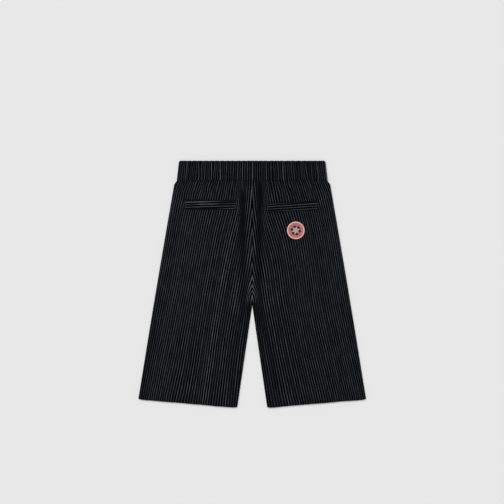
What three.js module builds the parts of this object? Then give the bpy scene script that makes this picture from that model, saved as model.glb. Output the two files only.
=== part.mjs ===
// Bermuda shorts with an elastic waist, laid flat on a table with the back facing up.
// Millimetres, +Z up, +Y towards the waist. The origin is on the table, under the middle.
// Left and right are the wearer's: seen from above, the left leg is at -X.
// A depth is a distance below the waist edge, and x is a distance from the centre back seam.
import * as THREE from "three";

// Outline of the garment, laid flat
const totalLength = 617; // waist edge to the inner corner of a hem
const waistHalfWidth = 182.8; // at the waist edge
const waistSeamHalfWidth = 188.5; // where the waistband meets the legs
const waistbandDepth = 50;
const waistCorner = 4.5; // rounding of the waistband's upper corners
const hipHalfWidth = 194.9; // where the flare under the waistband ends
const hipDepth = 60;
const sideSlope = 0.1672; // how far a side seam leans outwards for each mm of depth
const sideBow = 1.2; // how far it bows out of a straight line, halfway down
const outerHemDepth = 596; // at the side seam
const crotchDepth = 360;
const crotchEase = 14; // half the length over which the centre seam turns into the inseam
const inseamSlope = 0.1463;

// Cloth and seams
const clothWall = 1.2;
const seamGap = 0.3;
const clothEdge = 0.5; // rounding of a leg's edges at the waist seam and hem
const bandWall = 2.6; // two plies of cloth with the elastic between them
const bandEdge = 1.1; // rounding of the waistband's edges
const hemTurnUp = 30;
const hemPly = 0.8; // what the turned-up hem adds on the inside
const hemStep = 4; // the length over which that ply ends
const legTop = waistbandDepth + seamGap;

// Heights of the flattened tubes, table to top
const legHeight = 4.2;
const waistSeamHeight = 6;
const settleDepth = 75; // how far below the waist seam the height has settled
const hemHeight = 5.5;
const bandHeight = 6.6;
const centreTurn = Math.PI / 9; // how far the cloth turns down into the centre back seam
const bandCentreDrop = 0.35; // how far the waistband dips at its own centre back seam

// Gathers that the elastic makes, counted on one half of the back
const gatherCount = 13;
const gatherRise = [0.75, 1.35]; // lowest and highest crest above its troughs
const gatherReach = [26, 48]; // shortest and longest run below the waist seam
const gatherDrift = 0.32; // how unevenly the crests are spaced
const bandRise = 0.72; // a waistband crest as a share of the crest below it
const bandSeamPinch = 0.3; // how much lower a crest is at the waistband's edges

// Broad soft folds of the back: a ridge or a trough along a line from point 1 to point 2.
// side is the half it lies on, d is a depth and rise is its height, below zero in a trough.
const softFolds = [
  { side: 1, x1: 21, d1: 62, x2: 20, d2: 262, width: 8, rise: -0.75 },
  { side: -1, x1: 21, d1: 62, x2: 21, d2: 250, width: 8, rise: -0.8 },
  { side: 1, x1: 15, d1: 330, x2: 38, d2: 470, width: 9, rise: -0.7 },
  { side: -1, x1: 15, d1: 325, x2: 34, d2: 440, width: 9, rise: -0.65 },
  { side: 1, x1: 64, d1: 250, x2: 96, d2: 500, width: 22, rise: 0.8 },
  { side: -1, x1: 70, d1: 235, x2: 108, d2: 520, width: 24, rise: 0.7 },
  { side: 1, x1: 150, d1: 300, x2: 190, d2: 540, width: 24, rise: 0.75 },
  { side: -1, x1: 150, d1: 250, x2: 196, d2: 500, width: 26, rise: 0.85 },
  { side: 1, x1: 200, d1: 170, x2: 232, d2: 380, width: 13, rise: -0.55 },
  { side: -1, x1: 196, d1: 160, x2: 236, d2: 400, width: 13, rise: -0.6 },
];

// Back pockets, each edged by two jets, and the round badge under the right one.
// tilt is the rise of a pocket's outer end for each mm of its length.
const pockets = [
  { label: "left", side: -1, x: 105.5, d: 110, tilt: 0.012 },
  { label: "right", side: 1, x: 100, d: 114.5, tilt: 0.052 },
];
const pocketLength = 124;
const jetWidth = 9.5;
const jetThickness = 1.3;
const jetGap = 0.6;
const badge = { side: 1, x: 109, d: 174 };
const badgeRadius = 22;
const badgeThickness = 1.2;
const badgeBorderWidth = 3;

const clothColour = 0x1a1c20;
const badgeGroundColour = 0xb4656a;
const badgeBorderColour = 0xe0a898;

const mix = THREE.MathUtils.lerp;
const smooth = THREE.MathUtils.smoothstep;
const depthToY = (depth) => totalLength / 2 - depth;

// Fixed values from 0 to 1 that differ from fold to fold
function uneven(index, kind) {
  const wave = Math.sin((index + 1) * 12.9898 + kind * 78.233) * 43.7585;
  return wave - Math.floor(wave);
}

// Half of the garment's width at a depth below the waist seam
function sideX(depth) {
  const line = hipHalfWidth + sideSlope * (depth - hipDepth);
  const downSide = THREE.MathUtils.clamp((depth - hipDepth) / (outerHemDepth - hipDepth), 0, 1);
  const pulledIn = hipHalfWidth - sideSlope * (hipDepth - waistbandDepth) - waistSeamHalfWidth;
  const bow = sideBow * Math.sin(Math.PI * downSide);
  return line + bow - pulledIn * (1 - smooth(depth, waistbandDepth, hipDepth));
}

// Where the inner edge of a leg lies: on the centre seam as far as the crotch, then on the inseam
const innerX = (depth) => seamGap / 2 + Math.max(0, inseamSlope * (depth - crotchDepth));

// Height of a flattened leg, table to top, at a depth and at a distance from the hem
function heightAt(depth, fromHem = Infinity) {
  const settled = smooth(depth, waistbandDepth, waistbandDepth + settleDepth);
  const hem = 1 - smooth(fromHem, hemTurnUp, 2 * hemTurnUp);
  return mix(waistSeamHeight, legHeight, settled) + (hemHeight - legHeight) * hem;
}

// The gathers of one half, each from trough to trough, placed by shares of the half's width
const gathers = Array.from({ length: gatherCount }, (_, i) => ({
  crest: (i + 0.5 + gatherDrift * (uneven(i, 1) - 0.5)) / gatherCount,
  rise: mix(...gatherRise, uneven(i, 2)),
  reach: mix(...gatherReach, uneven(i, 3)),
}));
gathers.forEach((gather, i) => {
  const next = gathers[i + 1];
  gather.start = i ? gathers[i - 1].end : 0;
  gather.end = next ? (gather.crest + next.crest) / 2 : 1;
});

// Height of the gathers above their troughs, at a share of the half's width
function gatherAt(share, belowSeam) {
  const gather = gathers.find((g) => share <= g.end) ?? gathers[gatherCount - 1];
  const trough = share < gather.crest ? gather.start : gather.end;
  const climb = THREE.MathUtils.clamp((share - trough) / (gather.crest - trough), 0, 1);
  const fade = 1 - smooth(belowSeam, 0, gather.reach);
  return gather.rise * fade * 0.5 * (1 - Math.cos(Math.PI * climb));
}

// Height of the broad soft folds at a point of one half
function softFoldAt(side, x, depth) {
  const heights = softFolds.map((fold) => {
    if (fold.side !== side) return 0;
    const along = (depth - fold.d1) / (fold.d2 - fold.d1);
    const across = (x - mix(fold.x1, fold.x2, along)) / fold.width;
    const ends = smooth(along, -0.25, 0.2) * (1 - smooth(along, 0.8, 1.25));
    return fold.rise * ends * Math.exp(-across * across);
  });
  return heights.reduce((sum, height) => sum + height, 0);
}

// Folds flatten out where the cloth turns over at its edges
const awayFromEdges = (share) => smooth(share, 0, 0.03) * (1 - smooth(share, 0.97, 1));

// Shares of the width where a row has its points: on gathered, on smooth and on hidden cloth
const gatherShares = [
  ...gathers.flatMap((g) => [g.start, mix(g.start, g.crest, 0.5), g.crest, mix(g.crest, g.end, 0.5)]),
  1,
];
const smoothShares = [0, 0.035, 0.07, 0.11, 0.17, 0.26, 0.37, 0.48, 0.59, 0.7, 0.8, 0.88, 0.95, 1];
const hiddenShares = [0, 0.12, 0.4, 0.7, 0.92, 1];

// A point of a row, with a mark that says how far along the row it lies
const rowPoint = (mark, x, y, z) => ({ mark, place: new THREE.Vector3(x, y, z) });

// Joins two rows of points, which may differ in number, with a strip of triangles
function joinRows(triangles, rowA, rowB) {
  let a = 0;
  let b = 0;
  while (a < rowA.length - 1 || b < rowB.length - 1) {
    const nextA = rowA[a + 1]?.mark ?? Infinity;
    const nextB = rowB[b + 1]?.mark ?? Infinity;
    if (nextA <= nextB) {
      triangles.push([rowA[a], rowB[b], rowA[a + 1]]);
      a += 1;
    } else {
      triangles.push([rowA[a], rowB[b], rowB[b + 1]]);
      b += 1;
    }
  }
}

// A closed wall between an outer and an inner surface, each given as rows of points
function closedWall(rows) {
  const triangles = [];
  const first = rows[0];
  const last = rows.at(-1);
  for (let i = 1; i < rows.length; i += 1) {
    joinRows(triangles, rows[i - 1].outer, rows[i].outer);
    joinRows(triangles, rows[i].inner, rows[i - 1].inner);
    const corners = [rows[i - 1].outer, rows[i].outer, rows[i].inner, rows[i - 1].inner];
    const [o0, o1, n1, n0] = corners.map((row) => row[0]);
    triangles.push([o0, n1, o1], [o0, n0, n1]);
    const [p0, p1, m1, m0] = corners.map((row) => row.at(-1));
    triangles.push([p0, p1, m1], [p0, m1, m0]);
  }
  joinRows(triangles, first.inner, first.outer);
  joinRows(triangles, last.outer, last.inner);

  const signedVolume = ([p, q, r]) => p.place.dot(q.place.clone().cross(r.place));
  const inward = triangles.reduce((sum, triangle) => sum + signedVolume(triangle), 0) < 0;
  const facing = ([p, q, r]) => (inward ? [p, r, q] : [p, q, r]);
  const positions = triangles.flatMap(facing).flatMap((corner) => corner.place.toArray());
  const attribute = new THREE.Float32BufferAttribute(positions, 3);
  return new THREE.BufferGeometry().setAttribute("position", attribute);
}

// The line of one row across a leg, from its inner edge to the side seam.
// step is 0 at the waist seam and 1 at the hem, and the rows turn with it to the hem's slant.
function legLine(step) {
  const innerDepth = mix(legTop, totalLength, step);
  const outerDepth = mix(legTop, outerHemDepth, step);
  const [innerEdge, outerEdge] = [innerX(innerDepth), sideX(outerDepth)];
  const width = Math.hypot(outerEdge - innerEdge, outerDepth - innerDepth);
  return {
    innerDepth,
    width,
    fromHem: (1 - step) * (totalLength - legTop),
    at: (along) => ({
      x: mix(innerEdge, outerEdge, along / width),
      depth: mix(innerDepth, outerDepth, along / width),
    }),
  };
}

// One row of a leg panel. The panel turns over at its edges: fully at the side seam and the
// inseam, slightly at the centre seam. A front panel is a back panel's mirror image, unfolded.
function legRow(side, back, { step, shares, rounding }) {
  const rollSteps = 3;
  const line = legLine(step);
  const heightOf = (along) => heightAt(line.at(along).depth, line.fromHem);
  const rollRadius = (along) => (heightOf(along) - clothWall - seamGap) / 2;
  const belowCrotch = smooth(line.innerDepth, crotchDepth - crotchEase, crotchDepth + crotchEase);
  const innerTurn = mix(centreTurn, Math.PI / 2, belowCrotch);
  const flatStart = (rollRadius(0) + clothWall / 2) * Math.sin(innerTurn);
  const flatEnd = line.width - rollRadius(line.width) - clothWall / 2;

  const runTo = (share) => mix(flatStart, flatEnd, share);
  const stations = shares.map((share) => ({ share, mark: share, run: runTo(share), turn: 0 }));
  for (let i = 1; i <= rollSteps; i += 1) {
    const rolled = i / rollSteps;
    stations.unshift({ share: 0, mark: -rolled, run: flatStart, turn: -innerTurn * rolled });
    stations.push({ share: 1, mark: 1 + rolled, run: flatEnd, turn: (Math.PI / 2) * rolled });
  }

  const foldAt = (share) => {
    if (!back) return 0;
    const { x, depth } = line.at(runTo(share));
    return awayFromEdges(share) * (gatherAt(share, depth - waistbandDepth) + softFoldAt(side, x, depth));
  };
  const nudge = 0.004;
  const slopeAt = (share) => {
    const rise = foldAt(share + nudge) - foldAt(share - nudge);
    return rise / (runTo(share + nudge) - runTo(share - nudge));
  };
  const place = ({ share, mark, run, turn }, offset) => {
    const lean = turn === 0 ? -Math.atan(slopeAt(share)) : turn;
    const radius = rollRadius(run);
    const { x, depth } = line.at(run + radius * Math.sin(turn) + offset * Math.sin(lean));
    const middle = heightOf(run) / 2;
    const rise = seamGap / 2 + radius * Math.cos(turn) + offset * Math.cos(lean) + foldAt(share);
    return rowPoint(mark, side * x, depthToY(depth), back ? middle + rise : middle - rise);
  };
  const hem = hemPly * (1 - smooth(line.fromHem, hemTurnUp, hemTurnUp + hemStep));
  return {
    outer: stations.map((station) => place(station, clothWall / 2 - rounding)),
    inner: stations.map((station) => place(station, rounding - clothWall / 2 - hem)),
  };
}

function legPanel(side, back) {
  const crotch = [-crotchEase, 0, crotchEase].map((below) => crotchDepth + below);
  const hem = [2 * hemTurnUp, 1.5 * hemTurnUp, hemTurnUp + hemStep, hemTurnUp, clothEdge, 0];
  const gathered = back ? [legTop, legTop + clothEdge, 58, 66, 76, 87, 99] : [];
  const plain = back ? [112, 150, 200, 250, 300, ...crotch, 400, 450, 500] : [];
  const hidden = back ? [] : [legTop, legTop + clothEdge, 80, 110, 150, 250, ...crotch, 450];
  const depths = [...gathered, ...plain, ...hidden, ...hem.map((above) => totalLength - above)];
  const plainShares = back ? smoothShares : hiddenShares;
  const rows = depths.map((depth) => legRow(side, back, {
    step: (depth - legTop) / (totalLength - legTop),
    shares: gathered.includes(depth) ? gatherShares : plainShares,
    rounding: depth === legTop || depth === totalLength ? clothEdge / 2 : 0,
  }));
  return closedWall(rows);
}

// How far the waistband's rounded upper corners are cut back at a depth
function cornerCut(depth) {
  const above = Math.max(0, waistCorner - depth);
  return waistCorner - Math.sqrt(waistCorner ** 2 - above ** 2);
}

// One half of a ring of the waistband, from the centre back over the side to the centre front
function halfBand(side, depth, shares, offset) {
  const turnSteps = 6;
  const radius = (bandHeight - bandWall) / 2;
  const halfWidth = mix(waistHalfWidth, waistSeamHalfWidth, depth / waistbandDepth) - cornerCut(depth);
  const flatEnd = halfWidth - radius - bandWall / 2;
  const middle = Math.abs(depth / waistbandDepth - 0.5) * 2;
  const crestShare = bandRise * (1 - bandSeamPinch * middle ** 2);

  const stations = shares.map((share) => ({
    mark: share,
    run: mix(seamGap / 2, flatEnd, share),
    turn: 0,
    rise: crestShare * awayFromEdges(share) * gatherAt(share, 0) - (share === 0 ? bandCentreDrop : 0),
  }));
  for (let i = 1; i <= turnSteps; i += 1) {
    stations.push({ mark: 1 + i / turnSteps, run: flatEnd, turn: (Math.PI * i) / turnSteps, rise: 0 });
  }
  for (const share of [0.6, 0.3, 0]) {
    stations.push({ mark: 3 - share, run: flatEnd * share, turn: Math.PI, rise: 0 });
  }
  return stations.map(({ mark, run, turn, rise }) => {
    const x = run + (radius + offset) * Math.sin(turn);
    const z = bandHeight / 2 + (radius + offset) * Math.cos(turn) + rise;
    return rowPoint(side * (3 - mark), side * x, depthToY(depth), z);
  });
}

// The waistband: one strip round the whole waist, whose ends meet at the centre back
function waistband() {
  const depths = [0, bandEdge, 12, 25, 38, waistbandDepth - bandEdge, waistbandDepth];
  const ring = (depth, shares, offset) => {
    const left = halfBand(-1, depth, shares, offset);
    const right = halfBand(1, depth, shares, offset);
    return [...left, ...right.reverse().slice(1)];
  };
  return closedWall(depths.map((depth) => {
    const rounding = depth === 0 || depth === waistbandDepth ? bandEdge * 0.7 : 0;
    return {
      outer: ring(depth, gatherShares, bandWall / 2 - rounding),
      inner: ring(depth, hiddenShares, rounding - bandWall / 2),
    };
  }));
}

// A point above the back's outer surface, seam gap included
function onBack(mark, side, x, depth, rise) {
  const z = heightAt(depth) + softFoldAt(side, x, depth) + seamGap + rise;
  return rowPoint(mark, side * x, depthToY(depth), z);
}

// One jet of a pocket: a folded strip with a rounded top. Its first edge is the upper one.
function pocketJet(pocket, firstEdge) {
  const stations = 17;
  const section = [
    { across: 0, thickness: 0.3 },
    { across: 0.12, thickness: 0.85 },
    { across: 0.5, thickness: 1 },
    { across: 0.88, thickness: 0.85 },
    { across: 1, thickness: 0.3 },
  ];
  const rows = Array.from({ length: stations }, (_, i) => {
    const run = (i / (stations - 1) - 0.5) * pocketLength;
    const endShare = i === 0 || i === stations - 1 ? 0.5 : 1;
    const place = (rise) => ({ across, thickness }) => {
      const down = firstEdge + across * jetWidth;
      const x = pocket.x + run + down * pocket.tilt;
      const depth = pocket.d - run * pocket.tilt + down;
      return onBack(across, pocket.side, x, depth, rise * thickness * endShare * jetThickness);
    };
    return { outer: section.map(place(1)), inner: section.map(place(0)) };
  });
  return closedWall(rows);
}

// Turns a profile of radius and height pairs about the badge's centre and lays it on the back
function turnedOnBack(profile) {
  const segments = 40;
  const outline = profile.map(([radius, height]) => new THREE.Vector2(radius, height));
  const geometry = new THREE.LatheGeometry(outline, segments).rotateX(Math.PI / 2);
  const positions = geometry.attributes.position;
  for (let i = 0; i < positions.count; i += 1) {
    const [x, depth] = [badge.x + badge.side * positions.getX(i), badge.d - positions.getY(i)];
    positions.setXYZ(i, ...onBack(0, badge.side, x, depth, positions.getZ(i)).place.toArray());
  }
  return geometry;
}

function badgeGround() {
  const radius = badgeRadius - badgeBorderWidth - seamGap;
  const top = badgeThickness * 0.8;
  const bevel = 0.3;
  const underside = [[0, 0], [radius / 2, 0], [radius, 0]];
  const upper = [[radius, top - bevel], [radius - bevel, top], [radius / 2, top], [0, top]];
  return turnedOnBack([...underside, ...upper]);
}

function badgeBorder() {
  const sides = 10;
  const halfWidth = badgeBorderWidth / 2;
  const profile = Array.from({ length: sides + 1 }, (_, i) => {
    const turn = (2 * Math.PI * (i % sides)) / sides;
    const radius = badgeRadius - halfWidth - halfWidth * Math.cos(turn);
    return [radius, (badgeThickness * (1 - Math.sin(turn))) / 2];
  });
  return turnedOnBack(profile);
}

function finish(color, roughness) {
  return new THREE.MeshStandardMaterial({ color, roughness, metalness: 0 });
}
const cloth = finish(clothColour, 0.9);
const groundThread = finish(badgeGroundColour, 0.7);
const borderThread = finish(badgeBorderColour, 0.6);

const shorts = new THREE.Group();
shorts.name = "bermuda_shorts";

function addPiece(name, geometry, material) {
  const mesh = new THREE.Mesh(geometry, material);
  mesh.name = name;
  shorts.add(mesh);
}

for (const pocket of pockets) {
  const { label, side } = pocket;
  addPiece(`back_${label}_leg`, legPanel(side, true), cloth);
  addPiece(`front_${label}_leg`, legPanel(side, false), cloth);
  addPiece(`pocket_${label}_upper_jet`, pocketJet(pocket, -jetWidth - jetGap / 2), cloth);
  addPiece(`pocket_${label}_lower_jet`, pocketJet(pocket, jetGap / 2), cloth);
}
addPiece("waistband", waistband(), cloth);
addPiece("badge_ground", badgeGround(), groundThread);
addPiece("badge_border", badgeBorder(), borderThread);

export default shorts;
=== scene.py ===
"""Bermuda shorts in pinstriped cloth, laid flat on a pale table with the back facing up.

Lengths are millimetres until a mesh is finished, and then metres. +Y runs towards the waist and
+Z up. A depth is a distance below the waist edge, x is a distance from the centre back seam, and
side is 1 for the wearer's right and -1 for the left. Left and right are the wearer's.
"""
import math

import bmesh
import bpy
from mathutils import Matrix, Vector, noise


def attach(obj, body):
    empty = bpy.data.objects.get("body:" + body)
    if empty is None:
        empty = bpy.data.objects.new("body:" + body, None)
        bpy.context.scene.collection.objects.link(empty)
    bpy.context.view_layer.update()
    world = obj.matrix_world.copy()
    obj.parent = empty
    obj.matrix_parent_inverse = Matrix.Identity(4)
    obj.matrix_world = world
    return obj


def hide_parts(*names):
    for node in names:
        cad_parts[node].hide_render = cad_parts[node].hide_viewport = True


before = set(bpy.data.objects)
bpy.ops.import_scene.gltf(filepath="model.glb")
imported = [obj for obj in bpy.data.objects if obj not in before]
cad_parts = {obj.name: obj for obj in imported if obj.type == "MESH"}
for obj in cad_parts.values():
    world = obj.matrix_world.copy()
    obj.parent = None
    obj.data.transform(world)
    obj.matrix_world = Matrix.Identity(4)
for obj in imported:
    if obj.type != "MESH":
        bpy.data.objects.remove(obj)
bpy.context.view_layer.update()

MM = 0.001
QUARTER_TURN = math.pi / 2

# Outline of the garment, laid flat, as in the solids
TOTAL_LENGTH = 617
WAIST_HALF_WIDTH = 182.8
WAIST_SEAM_HALF_WIDTH = 188.5
WAISTBAND_DEPTH = 50
WAIST_CORNER = 4.5
HIP_HALF_WIDTH = 194.9
HIP_DEPTH = 60
SIDE_SLOPE = 0.1672
SIDE_BOW = 1.2
OUTER_HEM_DEPTH = 596
CROTCH_DEPTH = 360
CROTCH_EASE = 14
INSEAM_SLOPE = 0.1463
LEG_TOP = 50.2
SEAM_GAP = 0.1

# Cloth, seams and the heights of the flattened tubes
CLOTH = 0.9
SEAM_RADIUS = 0.8  # how softly an edge turns into the waist seam
CENTRE_RADIUS = 1.0  # the same at the centre seams
SEAM_ALLOWANCE = 1.5  # how far a turned edge runs down out of sight
HEM_RADIUS = 1.0
HEM_TURN_UP = 30
LEG_HEIGHT = 4.2
WAIST_SEAM_HEIGHT = 6.0
SETTLE_DEPTH = 75
HEM_HEIGHT = 5.2
BAND_WALL = 2.6
BAND_HEIGHT = 6.6

# Gathers of the elastic on one half of the back
GATHER_COUNT = 13
GATHER_RISE = (0.75, 1.35)
GATHER_REACH = (26, 48)
GATHER_DRIFT = 0.32
BAND_RISE = 0.72
PUCKER_RISE = 0.22
PUCKER_REACH = 17
CRUMPLES = ((0.34, 55, 90, 3.1), (0.1, 17, 34, 7.7))  # rise, size across and down, and a seed

# Stripes of the cloth
PITCH = 6.1  # from stripe to stripe across the grain

# tilt is the rise of a pocket's outer end for each mm of its length. A stripe runs along each
# jet: slant is how far it strays from the jet, and stripe is the place of one below the slit.
# upper_shows is how much the upper jet's stripes show at its inner and outer ends, and
# lower_shows is the same for the lower jet.
POCKETS = {
    "left": {
        "side": -1, "x": 105.5, "depth": 110, "tilt": 0.012, "slant": -0.04, "stripe": 4.4,
        "upper_shows": (0.7, 4.0), "lower_shows": 1.5,
    },
    "right": {
        "side": 1, "x": 100, "depth": 114.5, "tilt": 0.052, "slant": 0.015, "stripe": 2.6,
        "upper_shows": (1.2, 1.7), "lower_shows": 1.1,
    },
}
POCKET_LENGTH = 124
JET_WIDTH = 9.5
JET_GAP = 0.4
JET_RISE = 0.85
JET_CLOTH = 0.45
JET_STRIPE_NUMBER = 40  # a stripe that shows well


def mix(a, b, share):
    return a + (b - a) * share


def clamp(value, low=0.0, high=1.0):
    return max(low, min(high, value))


def smooth(value, low, high):
    t = clamp((value - low) / (high - low))
    return t * t * (3 - 2 * t)


def bell(distance, width):
    """1 at no distance, falling off to nothing within about two widths."""
    return math.exp(-((distance / width) ** 2))


def uneven(index, kind):
    """A fixed value from 0 to 1 that differs from fold to fold."""
    wave = math.sin((index + 1) * 12.9898 + kind * 78.233) * 43.7585
    return wave - math.floor(wave)


def depth_to_y(depth):
    return TOTAL_LENGTH / 2 - depth


# Folds and creases of the back: each runs from (x1, d1) to (x2, d2), and a trough has a rise
# below zero. The first ten are those of the solids, the rest are finer.
FOLD_COLUMNS = ("side", "x1", "d1", "x2", "d2", "width", "rise")
FOLDS = [dict(zip(FOLD_COLUMNS, row)) for row in (
    (1, 21, 62, 20, 262, 8, -0.75),
    (-1, 21, 62, 21, 250, 8, -0.8),
    (1, 15, 330, 38, 470, 9, -0.7),
    (-1, 15, 325, 34, 440, 9, -0.65),
    (1, 64, 250, 96, 500, 22, 0.8),
    (-1, 70, 235, 108, 520, 24, 0.7),
    (1, 150, 300, 190, 540, 24, 0.75),
    (-1, 150, 250, 196, 500, 26, 0.85),
    (1, 200, 170, 232, 380, 13, -0.55),
    (-1, 196, 160, 236, 400, 13, -0.6),
    (-1, 178, 92, 205, 150, 4, 0.5),
    (1, 172, 96, 204, 168, 4, 0.45),
    (-1, 30, 128, 62, 210, 7, -0.35),
    (1, 34, 132, 70, 232, 8, -0.4),
    (-1, 8, 296, 44, 340, 5, 0.55),
    (-1, 10, 322, 60, 372, 6, 0.5),
    (1, 8, 300, 52, 352, 5, 0.5),
    (1, 12, 330, 66, 392, 7, 0.45),
    (-1, 60, 520, 88, 596, 9, 0.4),
    (1, 132, 500, 150, 600, 11, 0.45),
    (-1, 176, 470, 182, 590, 10, -0.35),
    (1, 196, 430, 214, 580, 9, -0.4),
    (-1, 112, 180, 104, 300, 12, -0.35),
    (1, 128, 230, 120, 330, 11, -0.3),
)]
# Creases under the shorts, lifting the fronts a little from the table
FRONT_FOLDS = [dict(zip(FOLD_COLUMNS, row)) for row in (
    (1, 40, 120, 70, 330, 9, 0.5),
    (-1, 44, 100, 66, 300, 10, 0.45),
    (1, 150, 180, 186, 420, 8, 0.4),
    (-1, 140, 220, 190, 470, 9, 0.5),
    (1, 70, 400, 120, 560, 10, 0.4),
    (-1, 62, 380, 96, 540, 8, 0.4),
)]


def fold_height(folds, side, x, depth):
    total = 0.0
    for fold in folds:
        if fold["side"] != side:
            continue
        along = (depth - fold["d1"]) / (fold["d2"] - fold["d1"])
        if not -0.25 < along < 1.25:
            continue
        across = (x - mix(fold["x1"], fold["x2"], along)) / fold["width"]
        if abs(across) < 3:
            ends = smooth(along, -0.25, 0.2) * (1 - smooth(along, 0.8, 1.25))
            total += fold["rise"] * ends * math.exp(-across * across)
    return total


def make_gathers():
    gathers = []
    for i in range(GATHER_COUNT):
        crest = (i + 0.5 + GATHER_DRIFT * (uneven(i, 1) - 0.5)) / GATHER_COUNT
        rise = mix(*GATHER_RISE, uneven(i, 2))
        gathers.append({"crest": crest, "rise": rise, "reach": mix(*GATHER_REACH, uneven(i, 3))})
    for i, gather in enumerate(gathers):
        gather["start"] = gathers[i - 1]["end"] if i else 0.0
        last = i == GATHER_COUNT - 1
        gather["end"] = 1.0 if last else (gather["crest"] + gathers[i + 1]["crest"]) / 2
    return gathers


GATHERS = make_gathers()


def gather_at(share):
    """The gather at a share of the half's width, and how near its crest that is, from 0 to 1."""
    gather = next((g for g in GATHERS if share <= g["end"]), GATHERS[-1])
    trough = gather["start"] if share < gather["crest"] else gather["end"]
    climb = clamp((share - trough) / (gather["crest"] - trough))
    return gather, 0.5 * (1 - math.cos(math.pi * climb))


def side_edge(depth):
    line = HIP_HALF_WIDTH + SIDE_SLOPE * (depth - HIP_DEPTH)
    pulled = HIP_HALF_WIDTH - SIDE_SLOPE * (HIP_DEPTH - WAISTBAND_DEPTH) - WAIST_SEAM_HALF_WIDTH
    bow = SIDE_BOW * math.sin(math.pi * clamp((depth - HIP_DEPTH) / (OUTER_HEM_DEPTH - HIP_DEPTH)))
    return line + bow - pulled * (1 - smooth(depth, WAISTBAND_DEPTH, HIP_DEPTH))


def inner_edge(depth):
    return SEAM_GAP / 2 + max(0.0, INSEAM_SLOPE * (depth - CROTCH_DEPTH))


def height_at(depth, from_hem=math.inf):
    settled = smooth(depth, WAISTBAND_DEPTH, WAISTBAND_DEPTH + SETTLE_DEPTH)
    hem = 1 - smooth(from_hem, HEM_TURN_UP - 4, HEM_TURN_UP + 10)
    return mix(WAIST_SEAM_HEIGHT, LEG_HEIGHT, settled) + (HEM_HEIGHT - LEG_HEIGHT) * hem


def away_from_edges(share):
    return smooth(share, 0, 0.03) * (1 - smooth(share, 0.97, 1))


def back_relief(side, x, depth, share):
    """Height of gathers, folds and crumples above the smooth back."""
    below = depth - WAISTBAND_DEPTH
    gather, crest = gather_at(share)
    relief = gather["rise"] * crest ** 1.3 * (1 - smooth(below, -2, gather["reach"]))
    puckers = math.sin(share * 171 + 3 * noise.noise(Vector((share * 9, side, 0))))
    relief += PUCKER_RISE * puckers * (1 - smooth(below, 2, PUCKER_REACH))
    relief += fold_height(FOLDS, side, x, depth)
    for rise, wide, long, seed in CRUMPLES:
        relief += rise * noise.noise(Vector((x / wide, depth / long, side * seed)))
    return relief * away_from_edges(share)


def leg_line(step):
    """One row across a leg, from its inner edge to the side seam: step is 0 at the waist seam."""
    inner_depth = mix(LEG_TOP, TOTAL_LENGTH, step)
    outer_depth = mix(LEG_TOP, OUTER_HEM_DEPTH, step)
    inner_x = inner_edge(inner_depth)
    outer_x = side_edge(outer_depth)
    return {
        "inner_depth": inner_depth,
        "start": (inner_x, inner_depth),
        "end": (outer_x, outer_depth),
        "width": math.hypot(outer_x - inner_x, outer_depth - inner_depth),
        "from_hem": (1 - step) * (TOTAL_LENGTH - LEG_TOP),
    }


def along_line(line, run):
    share = run / line["width"]
    return tuple(mix(a, b, share) for a, b in zip(line["start"], line["end"]))


# How far the stripes lean outwards on their way down, in degrees, beside the centre seam and at
# three distances from it. Each row starts with its depth.
LEAN_PLACES = (0, 40, 130, 220)
LEANS = {
    -1: (
        (50, 3, 8, 21, 26),
        (90, 5, 7, 13, 14),
        (140, 8, 14.5, 11.5, 9),
        (210, 8, 12.5, 10, 9.5),
        (300, 10.5, 10.5, 10.5, 10.5),
        (400, 11, 10.5, 9.3, 11.3),
        (500, 7, 7, 8.5, 11.3),
        (620, 3, 4.5, 8, 11.3),
    ),
    1: (
        (50, 3, 10, 22, 25),
        (90, 5, 7.5, 15.5, 15.5),
        (140, 8, 18, 13.5, 11),
        (210, 8, 14.5, 9.5, 9.3),
        (300, 10.5, 7.5, 7.5, 9.5),
        (400, 11, 11, 11.3, 12.5),
        (500, 9, 10.5, 12.8, 13),
        (620, 7, 9, 12.5, 13.5),
    ),
}
LEAN_STEP = 5
LEVEL_DEPTH = 300  # stripes are counted outwards along this depth
OPEN_PITCH = 6.35  # from stripe to stripe beside the centre seam
NARROWING = 0.00042  # how fast the stripes draw together towards the side seam
CENTRE_STRIPE = -0.28
STRIPE_SHIFT = {-1: 3, 1: 10}  # which run of the cloth's stripes a leg is cut from
STRIPE_WANDER = 0.7
GATHER_PULL = 1.9  # how far the gathers pull a stripe sideways
# Above the crotch the seam pulls the stripes into chevrons, more and more steeply
CHEVRON_START = 255
CHEVRON_LENGTH = 80
CHEVRON_SHIFT = 11
CHEVRON_CURVE = 3.5
CHEVRON_ENDS = (345, 430)
CHEVRON_REACH = (5, 24)

# The painted shade of the soft crease on each side of the centre back seam: how far away it lies,
# its width and the depths between which it sets in. Lower down it runs beside the inseam.
CREASE = {
    -1: {"away": 23.5, "width": 10, "sets_in": (52, 96)},
    1: {"away": 18.5, "width": 9, "sets_in": (46, 60)},
}
CREASE_AWAY_THIGH = 31
CREASE_AWAY_HEM = 23
CREASE_WIDTH_THIGH = 7.5
CREASE_PAINTED_SHADE = (0.93, 0.62)  # the share of the stripes' strength that the painted shade takes, high and low
# how much of the crease's painted shade is left at the thigh and at the hem
CREASE_LEFT_AT_THIGH = {-1: 0.45, 1: 0.8}
CREASE_LEFT_AT_HEM = 0.55
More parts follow.
